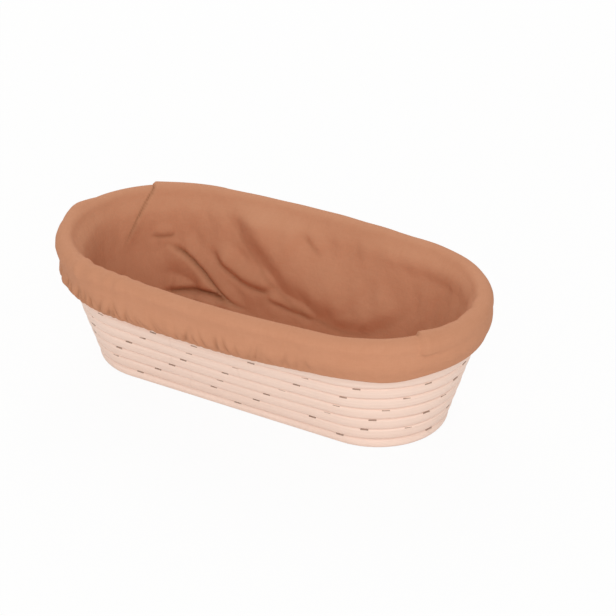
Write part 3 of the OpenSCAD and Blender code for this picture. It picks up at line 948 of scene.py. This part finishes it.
def weave_group():
    """A plain weave: the height of its threads and the uneven thickness of the yarn."""
    if "Plain weave" in bpy.data.node_groups:
        return bpy.data.node_groups["Plain weave"]
    inputs = [("Place", "NodeSocketVector"), ("Thread", "NodeSocketFloat")]
    tree, given, out = new_group("Plain weave", inputs, ("Height", "Slub"))
    axes = add(tree, "ShaderNodeSeparateXYZ", {0: given["Place"]}).outputs
    cells, waves = [], []
    for axis in (axes[0], axes[1]):
        count = math_node(tree, "DIVIDE", axis, given["Thread"])
        cells.append(math_node(tree, "FLOOR", count))
        waves.append(math_node(tree, "ABSOLUTE", math_node(tree, "SINE", times(tree, count, math.pi))))
    over = math_node(tree, "MODULO", math_node(tree, "ABSOLUTE", math_node(tree, "ADD", *cells)), 2.0)
    under = math_node(tree, "SUBTRACT", 1.0, over)
    height = math_node(tree, "ADD", times(tree, over, waves[0]), times(tree, under, waves[1]))
    yarns = [noise(tree, stretch(tree, given["Place"], by)) for by in ((60, 1700, 1), (1700, 60, 1))]
    slub = map_range(tree, times(tree, math_node(tree, "ADD", *yarns), 0.5), 0.35, 0.65)
    set_inputs(tree, out, {"Height": height, "Slub": slub})
    return tree


# Finishes


def new_material(name):
    """A material, its nodes and its shader."""
    material = bpy.data.materials.new(name)
    material.use_nodes = True
    tree = material.node_tree
    return material, tree, tree.nodes["Principled BSDF"]


def object_place(tree):
    """A point's place on its object, in metres."""
    return add(tree, "ShaderNodeTexCoord").outputs["Object"]


def cane_material(name, cane, has_grain):
    """Peeled rattan: pale, matte, with fine fibres along it. Wound cane carries its own grain."""
    material, tree, shader = new_material(name)
    place = object_place(tree)
    if has_grain:
        grain = add(tree, "ShaderNodeAttribute", attribute_name="grain").outputs["Vector"]
        place = stretch(tree, grain, (1, cane.height/2, cane.depth/2))
    fibres = add(tree, "ShaderNodeGroup", {"Place": place}, node_tree=fibre_group()).outputs
    streaked = mix_colour(tree, times(tree, fibres["Streak"], 0.55), cane.colour, cane.streak)
    tinted = mix_colour(tree, times(tree, fibres["Tint"], 0.35), streaked, srgb(242, 211, 194))
    marked = mix_colour(tree, times(tree, fibres["Joint"], 0.1), tinted, srgb(196, 158, 136))
    set_inputs(tree, shader, {
        "Base Color": marked,
        "Roughness": map_range(tree, fibres["Streak"], to_low=0.52, to_high=0.68),
        "Normal": bump(tree, fibres["Height"], 0.25, 0.0003),
        "Specular IOR Level": 0.35,
    })
    return material


def cloth_material(liner):
    """Dyed cloth of plain weave with uneven yarns, with painted shade between its threads and in its
    creases.
    """
    material, tree, shader = new_material("terracotta cloth")
    place = add(tree, "ShaderNodeUVMap", uv_map="cloth").outputs[0]
    values = {"Place": place, "Thread": liner.thread}
    weave = add(tree, "ShaderNodeGroup", values, node_tree=weave_group()).outputs
    wear = noise(tree, object_place(tree), 38.0, 4.0, 0.55)
    mottle = noise(tree, place, 260.0, 3.0, 0.6)
    blotches = times(tree, math_node(tree, "ADD", wear, times(tree, mottle, 0.8)), 0.5)
    share = math_node(tree, "ADD", times(tree, weave["Slub"], 0.16), blotches)
    dyed = mix_colour(tree, share, liner.colour, liner.shade)
    # Painted shade in the low places of the weave, where the threads dip under each other
    between = times(tree, math_node(tree, "SUBTRACT", 1.0, weave["Height"]), 0.07)
    gap_shaded = mix_colour(tree, between, dyed, srgb(160, 102, 72))
    # Painted shade: the cloth darkens toward deep brown in its creases and along the laps' edges, where
    # shadow falls
    shade_mark = add(tree, "ShaderNodeAttribute", attribute_name="crease_shade").outputs["Fac"]
    crease_shaded = mix_colour(tree, times(tree, shade_mark, 0.6), gap_shaded, srgb(130, 85, 50))
    rumple = bump(tree, noise(tree, place, 130.0, 3.0, 0.55), 0.6, 0.0012)
    set_inputs(tree, shader, {
        "Base Color": crease_shaded,
        "Roughness": map_range(tree, weave["Slub"], to_low=0.82, to_high=0.95),
        "Normal": bump(tree, weave["Height"], 0.2, 0.0002, Normal=rumple),
        "Sheen Weight": 0.05,
        "Sheen Tint": (*liner.colour, 1),
        "Sheen Roughness": 0.5,
        "Specular IOR Level": 0.15,
    })
    return material


def wire_material(staples):
    """Dull staple wire."""
    material, tree, shader = new_material("staple wire")
    spots = noise(tree, object_place(tree), 900.0, 3.0)
    set_inputs(tree, shader, {
        "Base Color": mix_colour(tree, spots, staples.colour, srgb(146, 118, 103)),
        "Roughness": map_range(tree, spots, to_low=0.38, to_high=0.62),
        "Metallic": 0.1,
    })
    return material


def elastic_material():
    """Braided elastic band, painted lighter on its raised threads and in shade where they dip."""
    material, tree, shader = new_material("braided elastic")
    values = {"Place": object_place(tree), "Thread": 0.0008}
    weave = add(tree, "ShaderNodeGroup", values, node_tree=weave_group()).outputs
    # Painted light and shade: lighter where the threads stand up, darker where they dip
    colour = mix_colour(tree, weave["Height"], srgb(196, 186, 168), srgb(228, 220, 204))
    set_inputs(tree, shader, {"Base Color": colour, "Roughness": 0.8})
    return material


# The stage


def show_white(tree, shader, kind, output, share):
    """Mixes white into what rays from the camera see, also by way of a mirror or glass."""
    path = add(tree, "ShaderNodeLightPath").outputs
    mirrored = math_node(tree, "MAXIMUM", path["Is Glossy Ray"], path["Is Transmission Ray"])
    seen = math_node(tree, "MAXIMUM", path["Is Camera Ray"], mirrored)
    white = add(tree, kind, {"Color": (1, 1, 1, 1), "Strength": 1.0}).outputs[0]
    values = {0: times(tree, seen, share), 1: shader.outputs[0], 2: white}
    mixed = add(tree, "ShaderNodeMixShader", values).outputs[0]
    set_inputs(tree, tree.nodes[output], {"Surface": mixed})


def add_floor(stage):
    """A pale floor that looks white but takes a soft shadow."""
    bm = bmesh.new()
    bmesh.ops.create_grid(bm, x_segments=1, y_segments=1, size=FLOOR_SIZE)
    bmesh.ops.translate(bm, vec=(0, 0, FLOOR_Z), verts=bm.verts[:])
    floor = new_object("floor", mesh_of("floor", bm))
    material, tree, shader = new_material("pale floor")
    values = {"Base Color": (*stage.floor, 1), "Roughness": 0.9, "Specular IOR Level": 0.1}
    set_inputs(tree, shader, values)
    show_white(tree, shader, "ShaderNodeEmission", "Material Output", FLOOR_WHITE)
    floor.data.materials.append(material)


def add_world(stage):
    """Even light from all round, on a white background."""
    world = bpy.data.worlds.new("even light")
    world.use_nodes = True
    tree = world.node_tree
    light = tree.nodes["Background"]
    set_inputs(tree, light, {"Color": (1, 0.985, 0.94, 1), "Strength": stage.fill})
    show_white(tree, light, "ShaderNodeBackground", "World Output", 1.0)
    bpy.context.scene.world = world


def add_lamp(name, place, size, power):
    """A square lamp that points at the basket."""
    data = bpy.data.lights.new(name, "AREA")
    data.energy, data.size = power, size
    lamp = new_object(name, data)
    lamp.location = place
    lamp.rotation_euler = (Vector(LAMP_AIM) - Vector(place)).to_track_quat("-Z", "Y").to_euler()


def add_camera(stage):
    """The camera, at the height and turn that the basket is seen from."""
    level = math.cos(ELEVATION)
    back = Vector((math.sin(AZIMUTH)*level, -math.cos(AZIMUTH)*level, math.sin(ELEVATION)))
    right = Vector((math.cos(AZIMUTH), math.sin(AZIMUTH), 0))
    up = back.cross(right)
    data = bpy.data.cameras.new("camera")
    data.lens, data.sensor_width, data.sensor_fit = stage.lens, SENSOR_MM, "HORIZONTAL"
    data.clip_start, data.clip_end = 0.05, 20
    camera = new_object("camera", data)
    place = Vector(CAMERA_AIM) + AIM_RIGHT*right + AIM_UP*up + DISTANCE*back
    camera.matrix_world = Matrix.Translation(place) @ Matrix((right, up, back)).transposed().to_4x4()
    bpy.context.scene.camera = camera


# Operators


class BASKET_OT_wind_cane(bpy.types.Operator):
    """Winds the base and the wall from lengths of cane, course on course"""
    bl_idname = "basket.wind_cane"
    bl_label = "Wind the cane"

    def execute(self, context):
        cane = context.scene.basket_cane
        material = cane_material("peeled cane", cane, True)
        for seed, (part, first, last, starts, ends, squareness) in enumerate(LENGTHS):
            rings = np.array([*cane_rings(first, last, starts, ends)])
            frames, along = cane_frames(rings, lean(first), cane, seed)
            bm = bmesh.new()
            sweep(bm, frames, along + GRAIN_STEP*seed, squareness)
            for v in bm.verts:
                v.co.z = max(v.co.z, 0)
            finish_piece(f"wound_{part}", bm, material, "basket", [f"{part}_coil"])
        return {"FINISHED"}


class BASKET_OT_finish_core(bpy.types.Operator):
    """Gives the two straight canes at the heart of the base their finish"""
    bl_idname = "basket.finish_core"
    bl_label = "Finish the core canes"

    def execute(self, context):
        material = cane_material("peeled core cane", context.scene.basket_cane, False)
        for name in ("front_core_cane", "back_core_cane"):
            refinish(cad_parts[name], material)
        return {"FINISHED"}


class BASKET_OT_drive_staples(bpy.types.Operator):
    """Drives the staples through each course into the one before"""
    bl_idname = "basket.drive_staples"
    bl_label = "Drive the staples"

    def execute(self, context):
        staples, cane = context.scene.basket_staples, context.scene.basket_cane
        material, one = wire_material(staples), staple_mesh(staples)
        draw = random.Random(4)
        for part, first, last, *_ in LENGTHS:
            bm = bmesh.new()
            for n in range(first, last + 1):
                for middle, way in staple_sites(n, staples):
                    bm.from_mesh(one)
                    bm.verts.ensure_lookup_table()
                    place = driven(n, middle, way, cane, draw)
                    bmesh.ops.transform(bm, matrix=place, verts=bm.verts[-len(one.vertices):])
            finish_piece(f"wire_{part}_staples", bm, material, "basket", [f"{part}_staples"])
        bpy.data.meshes.remove(one)
        return {"FINISHED"}


class BASKET_OT_drape_liner(bpy.types.Operator):
    """Drapes the band of the liner over the wall and the rim, with its folds, gathers and hem"""
    bl_idname = "basket.drape_liner"
    bl_label = "Drape the liner"

    def execute(self, context):
        liner = context.scene.basket_liner
        points, across, along, crease_shade = liner_points(liner)
        bm, places = laid_sheet(points, across, along, crease_shade)
        edge = {k: v for v, (i, k) in places.items() if i == 0}
        last = points.shape[1] - 1
        bmesh.ops.weld_verts(bm, targetmap={v: edge[k] for v, (i, k) in places.items() if i == last})
        band = finish_cloth("liner_band", bm, cloth_material(liner), ["liner_wall", "liner_cuff"], liner)
        return {"FINISHED"}


class BASKET_OT_lay_floor(bpy.types.Operator):
    """Lays the floor panel of the liner on the base"""
    bl_idname = "basket.lay_floor"
    bl_label = "Lay the floor panel"

    def execute(self, context):
        liner = context.scene.basket_liner
        edge = liner_rows()[0][0, 0] - FLOOR_GAP
        points = floor_points(edge)
        x, y = points[..., 0], points[..., 1]
        bm, _ = laid_sheet(points, x, y, 0*x)
        bmesh.ops.remove_doubles(bm, verts=bm.verts[:], dist=0.00002)
        material = bpy.data.materials["terracotta cloth"]
        panel = finish_cloth("liner_floor_panel", bm, material, ["liner_floor"], liner)
        return {"FINISHED"}


class BASKET_OT_finish_hem(bpy.types.Operator):
    """Gives the elastic in the hem its finish"""
    bl_idname = "basket.finish_hem"
    bl_label = "Finish the hem's elastic"

    def execute(self, context):
        refinish(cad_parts["hem_elastic"], elastic_material())
        return {"FINISHED"}


class BASKET_OT_set_stage(bpy.types.Operator):
    """Sets the floor, the lamps and the camera"""
    bl_idname = "basket.set_stage"
    bl_label = "Set the stage"

    def execute(self, context):
        stage = context.scene.basket_stage
        add_floor(stage)
        add_world(stage)
        add_lamp("key", KEY_PLACE, KEY_SIZE, stage.key)
        add_lamp("back fill", BACK_PLACE, BACK_SIZE, stage.key*BACK_SHARE)
        add_camera(stage)
        context.scene.view_settings.view_transform = "Standard"
        return {"FINISHED"}


class BASKET_PT_finish(bpy.types.Panel):
    """The steps of the finish, in order"""
    bl_idname = "BASKET_PT_finish"
    bl_label = "Proofing basket"
    bl_space_type = "VIEW_3D"
    bl_region_type = "UI"
    bl_category = "Basket"

    def draw(self, context):
        for settings, _ in SETTINGS:
            group = getattr(context.scene, settings)
            box = self.layout.box()
            for name in group.__annotations__:
                box.prop(group, name)
        for operator in OPERATORS:
            self.layout.operator(operator.bl_idname)


SETTINGS = (
    ("basket_cane", CaneSettings),
    ("basket_staples", StapleSettings),
    ("basket_liner", LinerSettings),
    ("basket_stage", StageSettings),
)
OPERATORS = (
    BASKET_OT_wind_cane,
    BASKET_OT_finish_core,
    BASKET_OT_drive_staples,
    BASKET_OT_drape_liner,
    BASKET_OT_lay_floor,
    BASKET_OT_finish_hem,
    BASKET_OT_set_stage,
)


def register():
    """Makes the settings, the operators and the panel known."""
    for name, group in SETTINGS:
        bpy.utils.register_class(group)
        setattr(bpy.types.Scene, name, PointerProperty(type=group))
    for made in (*OPERATORS, BASKET_PT_finish):
        bpy.utils.register_class(made)


def unregister():
    """Takes them away again."""
    for made in (*OPERATORS, BASKET_PT_finish):
        bpy.utils.unregister_class(made)
    for name, group in SETTINGS:
        delattr(bpy.types.Scene, name)
        bpy.utils.unregister_class(group)


def main():
    """Finishes the basket step by step."""
    register()
    bpy.ops.basket.wind_cane()
    bpy.ops.basket.finish_core()
    bpy.ops.basket.drive_staples()
    bpy.ops.basket.drape_liner()
    bpy.ops.basket.lay_floor()
    bpy.ops.basket.finish_hem()
    bpy.ops.basket.set_stage()


if __name__ == "__main__":
    main()
